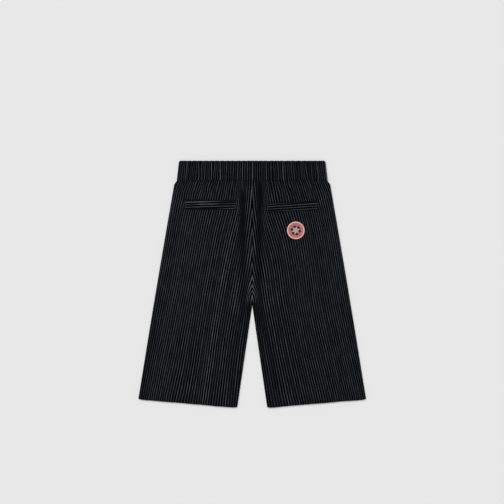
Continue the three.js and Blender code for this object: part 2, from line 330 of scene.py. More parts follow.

# Where else the stripes show more or less, painted light and painted shade among them
LEG_LIGHT = {-1: 1.04, 1: 0.92}  # the left, nearer the light, shows them a little more
BAND_LIGHT = {-1: 0.96, 1: 0.84}
CENTRE_SHOWS = 1.1
# painted shade where the cloth curves away at the side seam
SIDE_PAINTED_SHADE = {-1: 0.35, 1: 0.2}
INSEAM_PAINTED_SHADE = (0.75, 0.55)  # painted shade beside the inseam, at the crotch and at the thigh
RIDGE_FADE = 0.26
RIDGE_AWAY = 43
RIDGE_WIDTH = 14
THIGH_FADE = 0.08
PATCHES = (0.6, 0.35)  # uneven strength below the waist seam and over the rest


def lean_at(rows, depth, column):
    """The slope of the stripes at a depth, in one column of a table of leans."""
    for above, below in zip(rows, rows[1:]):
        if depth <= below[0] or below is rows[-1]:
            share = smooth(depth, above[0], below[0])
            return math.tan(math.radians(mix(above[column], below[column], share)))


def make_drift(rows):
    """How far a stripe has moved outwards since the top, step by step, in each column."""
    drift = [[0.0] * len(LEAN_PLACES)]
    while (len(drift) - 1) * LEAN_STEP < TOTAL_LENGTH + 20:
        depth = (len(drift) - 0.5) * LEAN_STEP
        slopes = [lean_at(rows, depth, i + 1) for i in range(len(LEAN_PLACES))]
        drift.append([a + b * LEAN_STEP for a, b in zip(drift[-1], slopes)])
    return drift


DRIFT = {side: make_drift(rows) for side, rows in LEANS.items()}


def inner_fold(side, depth):
    """The soft fold that runs down beside the centre back seam and then the inseam, where its painted
    shade lies.
    """
    away = mix(CREASE[side]["away"], CREASE_AWAY_THIGH, smooth(depth, 390, 500))
    return inner_edge(depth) + mix(away, CREASE_AWAY_HEM, smooth(depth, 500, 590))


def drift_at(side, x, depth):
    """How far out a stripe lies at a depth, against its place at the level depth."""
    step = clamp(depth / LEAN_STEP, 0, len(DRIFT[side]) - 1.001)
    above, below = DRIFT[side][int(step)], DRIFT[side][int(step) + 1]
    level = DRIFT[side][LEVEL_DEPTH // LEAN_STEP]
    drift = [mix(a, b, step - int(step)) - c for a, b, c in zip(above, below, level)]
    for i in range(len(LEAN_PLACES) - 1):
        if x < LEAN_PLACES[i + 1] or i == len(LEAN_PLACES) - 2:
            start = LEAN_PLACES[i] if i else 10
            return mix(drift[i], drift[i + 1], smooth(x, start, LEAN_PLACES[i + 1]))


def stripe_number(side, x, depth, back):
    """Which stripe lies at a point of a leg: a whole number is the middle of a stripe."""
    drift = drift_at(side, x, depth)
    drift += STRIPE_WANDER * noise.noise(Vector((x / 60, depth / 90, side * 9.1))) * smooth(x, 20, 50)
    if back:
        pulled = smooth(x, 20, 40) * (1 - smooth(depth, 64, 118))
        drift += GATHER_PULL * noise.noise(Vector((x / 13, depth / 26, side * 4.7))) * pulled
        squeeze = CHEVRON_SHIFT * clamp((depth - CHEVRON_START) / CHEVRON_LENGTH) ** CHEVRON_CURVE
        drift += squeeze * (1 - smooth(x, *CHEVRON_REACH)) * (1 - smooth(depth, *CHEVRON_ENDS))
    level = x - drift
    return level * (1 + NARROWING * level) / OPEN_PITCH + CENTRE_STRIPE


def sheet_grid(name, columns, rows, place, faces_up):
    """A sheet of cloth from rows and columns of stations. place gives a point, in millimetres,
    and the point's stripe number, run along the stripes and share of stripe strength, which takes in
    painted shade and painted light."""
    bm = bmesh.new()
    uv = bm.loops.layers.uv.new("stripes")
    strength = bm.verts.layers.float.new("stripe_strength_and_painted_light")
    across, down = len(columns) - 1, len(rows) - 1
    bmesh.ops.create_grid(bm, x_segments=across, y_segments=down, size=1)
    for vert in bm.verts:
        column = columns[round((vert.co.x + 1) / 2 * across)]
        row = rows[round((1 - vert.co.y) / 2 * down)]
        point, (stripe, along, vert[strength]) = place(column, row)
        vert.co = Vector(point) * MM
        for loop in vert.link_loops:
            loop[uv].uv = (stripe, along)
    bm.normal_update()
    height = sum(face.normal.z * face.calc_area() for face in bm.faces)
    if (height > 0) != faces_up:
        bmesh.ops.reverse_faces(bm, faces=bm.faces[:])
    return finish_mesh(name, bm)


def finish_mesh(name, bm):
    mesh = bpy.data.meshes.new(name)
    bm.to_mesh(mesh)
    bm.free()
    mesh.polygons.foreach_set("use_smooth", [True] * len(mesh.polygons))
    piece = bpy.data.objects.new(name, mesh)
    bpy.context.scene.collection.objects.link(piece)
    return piece


def thicken(piece, thickness):
    wall = piece.modifiers.new("wall", "SOLIDIFY")
    wall.thickness = thickness * MM
    wall.offset = -1
    return piece


def dress(piece, material, slot, *nodes):
    piece.data.materials.append(material)
    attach(piece, "root")
    if nodes:
        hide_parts(*nodes)
    return piece


# Materials


class Shader:
    """A node material with short calls for the few nodes that cloth and thread need."""

    def __init__(self, name, roughness, specular, sheen=0.0):
        self.material = bpy.data.materials.new(name)
        self.material.use_nodes = True
        self.tree = self.material.node_tree
        self.surface = self.tree.nodes["Principled BSDF"]
        self.surface.inputs["Roughness"].default_value = roughness
        self.surface.inputs["Specular IOR Level"].default_value = specular
        self.surface.inputs["Sheen Weight"].default_value = sheen
        self.surface.inputs["Sheen Roughness"].default_value = 0.5

    def put(self, value, socket):
        if isinstance(value, bpy.types.NodeSocket):
            self.tree.links.new(value, socket)
        else:
            socket.default_value = value

    def add(self, kind, values=None, **settings):
        node = self.tree.nodes.new(kind)
        for key, value in settings.items():
            setattr(node, key, value)
        for key, value in (values or {}).items():
            self.put(value, node.inputs[key])
        return node

    def math(self, operation, a, b=0.0, c=0.0):
        node = self.add("ShaderNodeMath", operation=operation)
        for socket, value in zip(node.inputs, (a, b, c)):
            self.put(value, socket)
        return node.outputs[0]

    def ramp(self, value, low, high, to_low=0.0, to_high=1.0, smooth_step=False):
        node = self.add("ShaderNodeMapRange", {
            "Value": value, "From Min": low, "From Max": high, "To Min": to_low, "To Max": to_high,
        }, interpolation_type="SMOOTHSTEP" if smooth_step else "LINEAR")
        return node.outputs["Result"]

    def vector(self, x, y):
        return self.add("ShaderNodeCombineXYZ", {"X": x, "Y": y}).outputs[0]

    def stretched(self, x, x_scale, y, y_scale):
        return self.vector(self.math("MULTIPLY", x, x_scale), self.math("MULTIPLY", y, y_scale))

    def noise(self, vector, scale, detail):
        return self.add("ShaderNodeTexNoise", {
            "Vector": vector, "Scale": scale, "Detail": detail,
        }).outputs[0]

    def blend(self, share, a, b):
        node = self.add("ShaderNodeMix", data_type="RGBA")
        self.put(share, node.inputs[0])
        self.put(a, node.inputs[6])
        self.put(b, node.inputs[7])
        return node.outputs[2]

    def shade(self, colour, share):
        node = self.add("ShaderNodeVectorMath", {0: colour}, operation="SCALE")
        self.put(share, node.inputs["Scale"])
        return node.outputs[0]

    def uv(self, name):
        node = self.add("ShaderNodeUVMap", uv_map=name)
        parts = self.add("ShaderNodeSeparateXYZ", {"Vector": node.outputs[0]})
        return parts.outputs[0], parts.outputs[1]

    def attribute(self, name):
        return self.add("ShaderNodeAttribute", attribute_name=name).outputs["Fac"]

    def bump(self, height, strength, distance):
        node = self.add("ShaderNodeBump", {
            "Height": height, "Strength": strength, "Distance": distance * MM,
        })
        self.put(node.outputs[0], self.surface.inputs["Normal"])


GROUND_COLOUR = (0.0011, 0.0013, 0.0022, 1)
GROUND_SLUB_COLOUR = (0.0030, 0.0033, 0.0048, 1)
STRIPE_COLOUR = (0.222, 0.236, 0.276, 1)
STRIPE_SHOWS = 0.5  # how much of its colour an even stripe shows
STRIPE_EDGE = (0.055, 0.115)  # a stripe fades out between these shares of the pitch
UNEVEN_STRIPES = (0.5, 1.0)  # strength of the weakest and the strongest
SWELL_LENGTH = 6.4  # the stripes swell and fade over this many of them
SWELL = (0.62, 1.08)
GROUND_SWELL = (1.7, 0.5)  # the cloth between them does the opposite
SLUBS = (0.6, 1.2)  # strength of a stripe's thin and thick places, some centimetres long
DASHES = (0.8, 1.08)  # the same, some millimetres long
THREAD_PAIRS = (6, 5)  # warp and weft threads in a stripe's pitch, in pairs: one over, one under
WEAVE_PAINTED_SHADE_AND_LIGHT = (0.4, 1.6)  # painted shade between threads and painted light on top of them


def pinstriped_cloth(name):
    """Near-black cloth with a thin, slubby grey stripe at each whole number of the UV map's x."""
    shader = Shader(name, roughness=0.95, specular=0.03, sheen=0.006)
    across, along = shader.uv("stripes")
    wobble = shader.noise(shader.vector(shader.math("ROUND", across), along), 0.5, 2.0)
    across_wobbled = shader.math("ADD", across, shader.math("MULTIPLY_ADD", wobble, 0.06, -0.03))
    number = shader.math("ROUND", across_wobbled)
    distance = shader.math("ABSOLUTE", shader.math("SUBTRACT", across_wobbled, number))

    own = shader.add("ShaderNodeTexWhiteNoise", {"W": number}, noise_dimensions="1D").outputs[0]
    wave = shader.math("SINE", shader.math("MULTIPLY", number, math.tau / SWELL_LENGTH))
    uneven_stripe = shader.ramp(own, 0, 1, *UNEVEN_STRIPES)
    strength = shader.math("MULTIPLY", uneven_stripe, shader.ramp(wave, -1, 1, *SWELL))
    slub_noise = shader.noise(shader.stretched(number, 7.31, along, 0.7), 0.35, 3.0)
    slub = shader.ramp(slub_noise, 0.3, 0.7, *SLUBS)
    dash_noise = shader.noise(shader.stretched(number, 3.7, along, 4.2), 1.0, 1.0)
    dash = shader.ramp(dash_noise, 0.35, 0.6, *DASHES)
    strength = shader.math("MULTIPLY", strength, shader.math("MULTIPLY", slub, dash))
    # the attribute carries painted shade in creases, grooves, seams and gather troughs, and each
    # leg's painted light
    strength = shader.math("MULTIPLY", strength, shader.attribute("stripe_strength_and_painted_light"))

    warp = shader.math("SINE", shader.math("MULTIPLY", across, math.tau * THREAD_PAIRS[0]))
    weft = shader.math("SINE", shader.math("MULTIPLY", along, math.tau * THREAD_PAIRS[1]))
    weave = shader.math("MULTIPLY", warp, weft)
    over = shader.ramp(weave, -0.6, 0.6, 0.5 * STRIPE_SHOWS, 1.5 * STRIPE_SHOWS)
    strength = shader.math("MULTIPLY", strength, over)
    line = shader.ramp(distance, *STRIPE_EDGE, 1.0, 0.0, smooth_step=True)
    visible = shader.math("MINIMUM", shader.math("MULTIPLY", line, strength), 1.0)

    mottle_noise = shader.noise(shader.stretched(across, 2.4, along, 0.5), 1.0, 4.0)
    mottle = shader.ramp(mottle_noise, 0.4, 0.75)
    float_height = shader.math("ABSOLUTE", weave)
    ground = shader.blend(mottle, GROUND_COLOUR, GROUND_SLUB_COLOUR)
    # painted shade and painted light of the weave
    ground = shader.shade(ground, shader.ramp(float_height, 0, 0.8, *WEAVE_PAINTED_SHADE_AND_LIGHT))
    ground = shader.shade(ground, shader.ramp(wave, -1, 1, *GROUND_SWELL))
    shader.put(shader.blend(visible, ground, STRIPE_COLOUR), shader.surface.inputs["Base Color"])

    fuzz = shader.noise(shader.vector(across, along), 26.0, 2.0)
    height = shader.math("MULTIPLY_ADD", fuzz, 0.6, float_height)
    shader.bump(shader.math("MULTIPLY_ADD", visible, 0.6, height), 0.7, 0.16)
    return shader.material


def thread(name, colour, threads=0.0):
    """Embroidery or sewing thread. threads is how many lie side by side over the UV map's x."""
    shader = Shader(name, roughness=0.55, specular=0.25, sheen=0.1)
    place = shader.add("ShaderNodeTexCoord").outputs["Object"]
    shade = shader.ramp(shader.noise(place, 900.0, 3.0), 0.3, 0.7, 0.82, 1.12)
    if threads:
        across, _ = shader.uv("threads")
        ply = shader.math("SINE", shader.math("MULTIPLY", across, math.tau * threads))
        # darker between the threads: painted shade in the grooves between them
        shade = shader.math("MULTIPLY", shade, shader.ramp(ply, -1, 1, 0.72, 1.06))
        shader.bump(ply, 0.6, 0.15)
    shader.put(shader.shade(colour, shade), shader.surface.inputs["Base Color"])
    return shader.material


# Leg panels


def arc_stations(first, last, steps):
    """Turns from first to last, without the last."""
    return [mix(first, last, i / steps) for i in range(steps)]


def leg_columns(flat_steps):
    """Stations across a leg: a share of the flat width, a turn at an edge, and a drop past it."""
    inner = [{"share": 0.0, "turn": turn} for turn in arc_stations(-QUARTER_TURN, 0, 4)]
    flat = [{"share": i / flat_steps, "turn": 0.0} for i in range(flat_steps + 1)]
    outer = [{"share": 1.0, "turn": -turn} for turn in arc_stations(-QUARTER_TURN, 0, 5)][::-1]
    return [{**inner[0], "drop": SEAM_ALLOWANCE}, *inner, *flat, *outer]


def leg_rows(fine_step, coarse_step):
    """Stations down a leg: a depth, and how far the cloth has turned inwards from its outside."""
    rows = [{"depth": LEG_TOP, "inset": SEAM_RADIUS + SEAM_ALLOWANCE}]
    for turn in arc_stations(QUARTER_TURN, 0, 4):
        depth = LEG_TOP + SEAM_RADIUS * (1 - math.sin(turn))
        rows.append({"depth": depth, "inset": SEAM_RADIUS * (1 - math.cos(turn))})
    depth = LEG_TOP + SEAM_RADIUS
    hem_start = TOTAL_LENGTH - HEM_RADIUS
    while depth < hem_start - 1:
        rows.append({"depth": depth, "inset": 0.0})
        depth += fine_step if depth < 135 else coarse_step
    for turn in arc_stations(0, math.pi, 7):
        depth = hem_start + HEM_RADIUS * math.sin(turn)
        rows.append({"depth": depth, "inset": HEM_RADIUS * (1 - math.cos(turn))})
    for i in range(7):
        rows.append({"depth": hem_start - i / 6 * HEM_TURN_UP, "inset": 2 * HEM_RADIUS, "up": True})
    return rows


HEM_WAVE = 0.7
HEM_WAVE_LENGTH = 42
HEM_CORNER = 1.6  # how far a leg's lower corners are drawn up


def hem_wave(side, x):
    """How far the hem's edge strays from a straight line."""
    return HEM_WAVE * noise.noise(Vector((x / HEM_WAVE_LENGTH, side * 5.3, 1.5)))


def crease_painted_shade(side, x, depth):
    """Painted shade: the stripes show less in the crease beside the centre seam and the inseam."""
    width = mix(CREASE[side]["width"], CREASE_WIDTH_THIGH, smooth(depth, 400, 480))
    beside = math.exp(-abs((x - inner_fold(side, depth)) / width) ** 2.4)
    deep = mix(*CREASE_PAINTED_SHADE, smooth(depth, 160, 300)) * smooth(depth, *CREASE[side]["sets_in"])
    deep *= mix(1, CREASE_LEFT_AT_THIGH[side], smooth(depth, 370, 430))
    deep *= mix(1, CREASE_LEFT_AT_HEM, smooth(depth, 540, 600))
    wander = 1 + 0.3 * noise.noise(Vector((depth / 60, side * 2.0, 0)))
    return 1 - clamp(deep * beside * wander)


def stripe_strength_and_painted_light(side, x, depth):
    """How much the stripes show: more at the centre seam, less under painted shade in creases, round
    the pockets and beside seams, and more or less with each leg's painted light.
    """
    strength = crease_painted_shade(side, x, depth)
    at_centre = bell(x, 7) * smooth(depth, 180, 240) * (1 - smooth(depth, 345, 360))
    strength *= 1 + CENTRE_SHOWS * at_centre
    strength *= pocket_painted_shade(side, x, depth)
    # painted shade beside the side seam and beside the inseam
    from_side = side_edge(depth) - x
    faded = SIDE_PAINTED_SHADE[side] * smooth(depth, 180, 420)
    strength *= 1 - faded * (1 - smooth(from_side, 6, 28))
    from_inseam = x - inner_edge(depth)
    faded = mix(*INSEAM_PAINTED_SHADE, smooth(depth, 375, 430)) * (1 - smooth(from_inseam, 8, 20))
    strength *= 1 - faded * smooth(depth, 342, 360)
    ridge = bell(from_inseam - RIDGE_AWAY, RIDGE_WIDTH)
    strength *= 1 - RIDGE_FADE * ridge * smooth(depth, 358, 390)
    strength *= 1 - THIGH_FADE * smooth(depth, 380, 480)
    patchy = mix(*PATCHES, smooth(depth, 70, 130))
    strength *= 1 + patchy * noise.noise(Vector((x / 8, depth / 26, side * 11.3)))
    return strength * LEG_LIGHT[side]


def pocket_painted_shade(side, x, depth):
    """Painted shade in the groove round a pocket and under its slit: the back's stripes fade there.
    """
    pocket = next(pocket for pocket in POCKETS.values() if pocket["side"] == side)
    down = depth - pocket["depth"] + (x - pocket["x"]) * pocket["tilt"]
    run = x - pocket["x"] - down * pocket["tilt"]
    outside = max(abs(down) - JET_WIDTH - JET_GAP / 2, abs(run) - POCKET_LENGTH / 2)
    return 1 - 0.95 * (1 - smooth(outside, 1.8, 3.3))


def gather_painted_shade(share, depth):
    """Painted shade in the troughs between gathers, just below the waist seam: the stripes show less
    there.
    """
    gather, crest = gather_at(share)
    below = depth - WAISTBAND_DEPTH
    return 1.06 - 0.55 * (1 - crest) ** 2 * (1 - smooth(below, 5, gather["reach"] * 0.75))


def seam_painted_shade(inset):
    """Painted shade where the cloth turns down into a seam: the stripes fade there."""
    return 1 - 0.7 * smooth(inset, SEAM_RADIUS * 0.5, SEAM_RADIUS)


def hem_painted_shade(from_hem):
    """Painted shade where the cloth turns under at the hem: the stripes fade a little there."""
    return mix(0.72, 1, smooth(from_hem, 1, 10))


def tube_height(line, run):
    """Height of a flattened leg at a run along one row across it."""
    return height_at(along_line(line, run)[1], line["from_hem"])


def leg_place(side, back):
    def place(column, row):
        line = leg_line((row["depth"] - LEG_TOP) / (TOTAL_LENGTH - LEG_TOP))
        crotch = (CROTCH_DEPTH - CROTCH_EASE, CROTCH_DEPTH + CROTCH_EASE)
        below_crotch = smooth(line["inner_depth"], *crotch)
        outer_radius = (tube_height(line, line["width"]) - SEAM_GAP) / 2
        inner_radius = mix(CENTRE_RADIUS, (tube_height(line, 0) - SEAM_GAP) / 2, below_crotch)
        share, turn = column["share"], column["turn"]
        run = mix(inner_radius, line["width"] - outer_radius, share)
        height = tube_height(line, run)
        radius = inner_radius if turn < 0 else outer_radius
        rolled = radius if turn else 0.0
        across = run + (radius - row["inset"]) * math.sin(turn)
        up = height - rolled + (rolled - row["inset"]) * math.cos(turn)
        up -= column.get("drop", 0.0) * (1 - below_crotch)
        flat_x, flat_depth = along_line(line, run)
        if back:
            up += back_relief(side, flat_x, flat_depth, share)
        else:
            lift = fold_height(FRONT_FOLDS, side, flat_x, flat_depth)
            up = height - up + max(0.0, lift) * away_from_edges(share)
        x, depth = along_line(line, across)
        depth += hem_wave(side, x) * (1 - smooth(line["from_hem"], 0, 60))
        from_corner = min(across, line["width"] - across)
        near_corner = (1 - smooth(from_corner, 0, 9)) * (1 - smooth(line["from_hem"], 0, 12))
        depth -= HEM_CORNER * near_corner
        arc = radius * turn + (column.get("drop", 0.0) if turn < 0 else 0.0)
        stripe = stripe_number(side, flat_x, flat_depth, back) + arc / PITCH
        up_ply = 2 * (TOTAL_LENGTH - row["depth"]) if row.get("up") else 0.0
        strength = 1.0
        if back:
            strength = stripe_strength_and_painted_light(side, flat_x, flat_depth) * gather_painted_shade(share, flat_depth)
        strength *= seam_painted_shade(row["inset"]) * hem_painted_shade(line["from_hem"])
        run_down = (flat_depth + up_ply) / PITCH
        return (side * x, depth_to_y(depth), up), (stripe + STRIPE_SHIFT[side], run_down, strength)

    return place


# Stations across a leg, and the fine and coarse steps from station to station down it
FRONT_STEPS = (64, 4, 6)
BACK_STEPS = (112, 2, 3.1)


def make_leg_panel(cloth, label, side, back):
    name = f"back_{label}" if back else f"front_{label}"
    across, *down = BACK_STEPS if back else FRONT_STEPS
    place = leg_place(side, back)
    panel = sheet_grid(f"{name}_cloth", leg_columns(across), leg_rows(*down), place, back)
    dress(thicken(panel, CLOTH), cloth, "cloth", f"{name}_leg")
    return panel


def make_legs(cloth):
    for label, side in (("left", -1), ("right", 1)):
        front = make_leg_panel(cloth, label, side, False)
        make_leg_panel(cloth, label, side, True)


# Waistband


def band_rows():
    """Stations round the waistband's section: a depth and an inset, from the seam over the top."""
    seam = WAISTBAND_DEPTH - SEAM_GAP
    fold = BAND_WALL / 2
    rows = [{"depth": seam, "inset": SEAM_RADIUS + SEAM_ALLOWANCE / 2, "ply": 0.0}]
    for turn in arc_stations(QUARTER_TURN, 0, 4):
        depth = seam - SEAM_RADIUS * (1 - math.sin(turn))
        rows.append({"depth": depth, "inset": SEAM_RADIUS * (1 - math.cos(turn)), "ply": 0.0})
    for i in range(24):
        rows.append({"depth": mix(seam - SEAM_RADIUS, fold, i / 24), "inset": 0.0, "ply": 0.0})
    for turn in arc_stations(0, math.pi, 8):
        inset = fold * (1 - math.cos(turn))
        rows.append({"depth": fold * (1 - math.sin(turn)), "inset": inset, "ply": turn / math.pi})
    for i in range(9):
        rows.append({"depth": mix(fold, seam, i / 8), "inset": BAND_WALL, "ply": 1.0})
    return rows


def band_columns(back=124, bend=12, front=56):
    """Stations round the waist, from the left of the centre back to the right of it."""
    seam = arc_stations(-QUARTER_TURN, 0, 4)
    half = [{"share": 0.0, "turn": turn, "front": False} for turn in seam]
    half += [{"share": i / back, "turn": 0.0, "front": False} for i in range(back + 1)]
    half += [{"share": 1.0, "turn": math.pi * i / bend, "front": False} for i in range(1, bend)]
    half += [{"share": 1.0 - i / front, "turn": math.pi, "front": True} for i in range(front + 1)]
    left = [{**column, "side": -1} for column in half]
    right = [{**column, "side": 1} for column in half[:-1]]
    return left + right[::-1]


def corner_cut(depth):
    above = max(0.0, WAIST_CORNER - depth)
    return WAIST_CORNER - math.sqrt(WAIST_CORNER ** 2 - above ** 2)


def band_relief(side, share, depth):
    gather, crest = gather_at(share)
    middle = abs(depth / WAISTBAND_DEPTH - 0.5) * 2
    relief = BAND_RISE * gather["rise"] * crest ** 1.4 * (1 - 0.3 * middle ** 2)
    place = Vector((share * 26, depth / 60, side * 4.4))
    relief += 0.3 * noise.noise(place) + 0.14 * noise.noise(place * 2.7)
    return relief * away_from_edges(share)


BAND_PITCH = 5.6  # round the side and over the front
EVEN_TO = 45  # the stripes are evenly spaced this far out
CENTRE_BAND = {-1: 0.4, 1: 1.9}  # the widest stripe lies over the centre, this far each way
BAND_WANDER = 0.5
BAND_TURN = 0.7  # how far the band turns down at the centre
BAND_STRIPES = (0.75, 1.8)  # strength of the weakest and the strongest


def band_stripe(side, share, arc, depth, front):
    """The stripes run on from the legs, and round the side to the centre front."""
    seam_x = mix(CENTRE_RADIUS, WAIST_SEAM_HALF_WIDTH, share)
    if seam_x < EVEN_TO and not front:
        outer = stripe_number(side, EVEN_TO, WAISTBAND_DEPTH, True)
        inner = round(outer - (EVEN_TO - CENTRE_BAND[side]) / PITCH)
        even = (seam_x - CENTRE_BAND[side]) / (EVEN_TO - CENTRE_BAND[side])
        return mix(inner, outer, clamp(even))
    if front:
        side_stripe = stripe_number(side, WAIST_SEAM_HALF_WIDTH, WAISTBAND_DEPTH, True)
        return side_stripe + (arc + WAIST_SEAM_HALF_WIDTH - seam_x) / BAND_PITCH
    place = Vector((seam_x / 11, side * 6.2, depth / 40))
    wander = BAND_WANDER * noise.noise(place) * smooth(seam_x, EVEN_TO, 60)
    return stripe_number(side, seam_x, WAISTBAND_DEPTH, True) + wander + arc / BAND_PITCH


def band_strength(side, share, depth, stripe):
    """How much the band's stripes show: less under painted shade between gathers and at the band's
    top edge.
    """
    _, crest = gather_at(share)
    strength = mix(1.1, 0.5, (1 - crest) ** 1.5 * away_from_edges(share))
    strength *= mix(*BAND_STRIPES, uneven(round(stripe), 5) ** 2.5)
    strength *= 0.95 + 0.3 * bell(depth - 22, 9)
    strength *= 1 + 0.24 * bell(depth - 41, 5)
    strength *= mix(0.6, 1, smooth(depth, 1, 5))
    return strength * BAND_LIGHT[side]


def band_place(column, row):
    side, share, turn = column["side"], column["share"], column["turn"]
    depth, inset, front = row["depth"], row["inset"], column["front"]
    radius = BAND_HEIGHT / 2
    half_width = mix(WAIST_HALF_WIDTH, WAIST_SEAM_HALF_WIDTH, depth / WAISTBAND_DEPTH)
    flat_end = half_width - corner_cut(depth) - radius
    start = 0.0 if front else CENTRE_RADIUS + SEAM_GAP / 2
    run = mix(start, flat_end, share)
    _, crest = gather_at(share)
    edge_wave = 0.5 * (crest - 0.85) * smooth(6 - depth, 0, 6) * away_from_edges(share)
    if turn < 0:
        turn *= 1 - smooth(row["ply"], 0, 0.5)
        rolled = CENTRE_RADIUS - min(inset, BAND_TURN)
        up = BAND_HEIGHT - CENTRE_RADIUS + rolled * math.cos(turn) - max(0.0, inset - BAND_TURN)
        x = run + rolled * math.sin(turn)
    else:
        up = radius + (radius - inset) * math.cos(turn)
        x = run + (radius - inset) * math.sin(turn)
    outside = 1 - row["ply"]
    relief = band_relief(side, share, depth)
    if front:
        up += max(0.0, 0.5 * relief - 0.2) * outside
    elif turn == 0:
        up += relief * mix(0.35, 1.0, outside)
    stripe = band_stripe(side, share, radius * turn, depth, front)
    along = (depth if row["ply"] < 0.5 else -depth) / PITCH
    strength = band_strength(side, share, depth, stripe)
    if row["ply"] == 0:
        strength *= seam_painted_shade(inset)
    y = depth_to_y(depth) + edge_wave
    return (side * x, y, up), (stripe + STRIPE_SHIFT[side], along, strength)


def make_waistband(cloth):
    band = sheet_grid("waistband_cloth", band_columns(), band_rows(), band_place, True)
    dress(thicken(band, CLOTH), cloth, "waistband_cloth", "waistband")


# What lies on the back


def back_surface(side, x, depth):
    """Height of the back's outside, where pockets and the badge lie."""
    share = clamp((x - CENTRE_RADIUS) / (side_edge(depth) - CENTRE_RADIUS - 2))
    return height_at(depth) + back_relief(side, x, depth, share)


def on_back(side, x, depth, up):
    return (side * x, depth_to_y(depth), back_surface(side, x, depth) + up)


def pocket_point(pocket, run, down, up):
    x = pocket["x"] + run + down * pocket["tilt"]
    depth = pocket["depth"] - run * pocket["tilt"] + down
    return on_back(pocket["side"], x, depth, up)


def jet_rows():
    """Stations across a jet, from its outer seam to the fold at the slit and back under."""
    seam = ((0, -0.25), (0.15, 0.15), (0.6, 0.5), (1.4, 0.72))
    rows = [(JET_WIDTH - from_seam, up) for from_seam, up in seam]
    crown = 8
    for i in range(crown + 1):
        away = mix(JET_WIDTH - 2.2, 0.6, i / crown)
        rows.append((away, JET_RISE * (0.93 + 0.07 * math.sin(math.pi * i / crown))))
    roll = JET_RISE / 2
    for i in range(1, 7):
        turn = math.pi * i / 6
        rows.append((0.6 - 0.5 * math.sin(turn), roll + roll * 0.93 * math.cos(turn)))
    rows.append((3.0, 0.03))
    return rows


JET_STEPS = 88


def make_jet(cloth, label, pocket, upper):
    sign = -1 if upper else 1
    runs = [(i / JET_STEPS - 0.5) * POCKET_LENGTH for i in range(JET_STEPS + 1)]

    def place(run, row):
        away, up = row
        from_end = POCKET_LENGTH / 2 - abs(run)
        squash = mix(0.55, 1.0, smooth(from_end, 0, 3.5))
        soft = 1 + 0.12 * noise.noise(Vector((run / 14, sign * 3.0, pocket["side"])))
        down = sign * (away + JET_GAP / 2)
        point = pocket_point(pocket, run, down, max(up, 0) * squash * soft + min(up, 0))
        stripe = (down + pocket["slant"] * run - pocket["stripe"]) / PITCH
        shown = pocket["lower_shows"]
        if upper:
            shown = mix(*pocket["upper_shows"], smooth(run, -30, 20))
        # painted shade where the jet sinks into its seam and slit, and at its ends
        strength = shown * smooth(up, -0.1, 0.6) * mix(1, 0.3, 1 - smooth(from_end, 0, 1.5))
        return point, (stripe + JET_STRIPE_NUMBER, run / PITCH, strength)

    name = f"pocket_{label}_{'upper' if upper else 'lower'}_jet"
    jet = sheet_grid(f"{name}_cloth", runs, jet_rows(), place, True)
    dress(thicken(jet, JET_CLOTH), cloth, "jet_cloth", name)


# Sewing: a stitch's pitch, length and radius, and a tack's length and radius

HEM_STITCH = (3.3, 2.5, 0.2)
POCKET_STITCH = (2.9, 2.2, 0.18)
TACK = (2.0, 0.27)
TACKS = 40  # at each end of a pocket


def add_stitch(bm, place, heading, length, radius):
    """One stitch: a small grain of thread lying along its heading."""
    turned = Matrix.Rotation(math.atan2(heading[1], heading[0]), 4, "Z")
    shape = Matrix.Diagonal((length / 2, radius, radius, 1))
    matrix = Matrix.Translation(Vector(place)) @ turned @ shape
    scale = Matrix.Scale(MM, 4)
    bmesh.ops.create_uvsphere(bm, u_segments=6, v_segments=4, radius=1, matrix=scale @ matrix)


def stitch_line(bm, points, pitch, length, radius):
    """Stitches along a line of points, a pitch apart."""
    left_over = 0.0
    for a, b in zip(points, points[1:]):
        a, b = Vector(a), Vector(b)
        span = (b - a).length
        heading = (b - a) / span
        run = left_over
        while run < span:
            add_stitch(bm, a + heading * run, heading, length, radius)
            run += pitch
        left_over = run - span


def hem_line(side):
    """The row of stitches that holds a hem's turn-up."""
    step = 1 - (HEM_TURN_UP - 3) / (TOTAL_LENGTH - LEG_TOP)
    line = leg_line(step)
    points = []
    for i in range(61):
        run = mix(4, line["width"] - 4, i / 60)
        x, depth = along_line(line, run)
        height = height_at(depth, line["from_hem"])
        share = (run - 2) / (line["width"] - 4)
        up = height + back_relief(side, x, depth, share)
        points.append((side * x, depth_to_y(depth), up))
    return points


def make_sewing(material):
    hems = bmesh.new()
    for side in (-1, 1):
        stitch_line(hems, hem_line(side), *HEM_STITCH)
    dress(finish_mesh("hem_stitches", hems), material, "cloth")
    tacks = bmesh.new()
    for pocket in POCKETS.values():
        edge = JET_WIDTH + JET_GAP / 2 + 0.3
        for down in (-edge, edge):
            runs = [mix(-POCKET_LENGTH / 2, POCKET_LENGTH / 2, i / 30) for i in range(31)]
            points = [pocket_point(pocket, run, down, 0.02) for run in runs]
            stitch_line(tacks, points, *POCKET_STITCH)
        for end in (-1, 1):
            run = end * (POCKET_LENGTH / 2 + 0.2)
            for i in range(TACKS):
                down = mix(-edge, edge, i / (TACKS - 1))
                on_jet = 0.55 if abs(down) < edge - 1 else 0.15
                start = pocket_point(pocket, run, down, on_jet)
                across = (1.0, 0.2 * pocket["tilt"] * end)
                add_stitch(tacks, start, across, *TACK)
    dress(finish_mesh("pocket_stitches", tacks), material, "jet_cloth")


# Badge: a plain round patch with a flower, embroidered

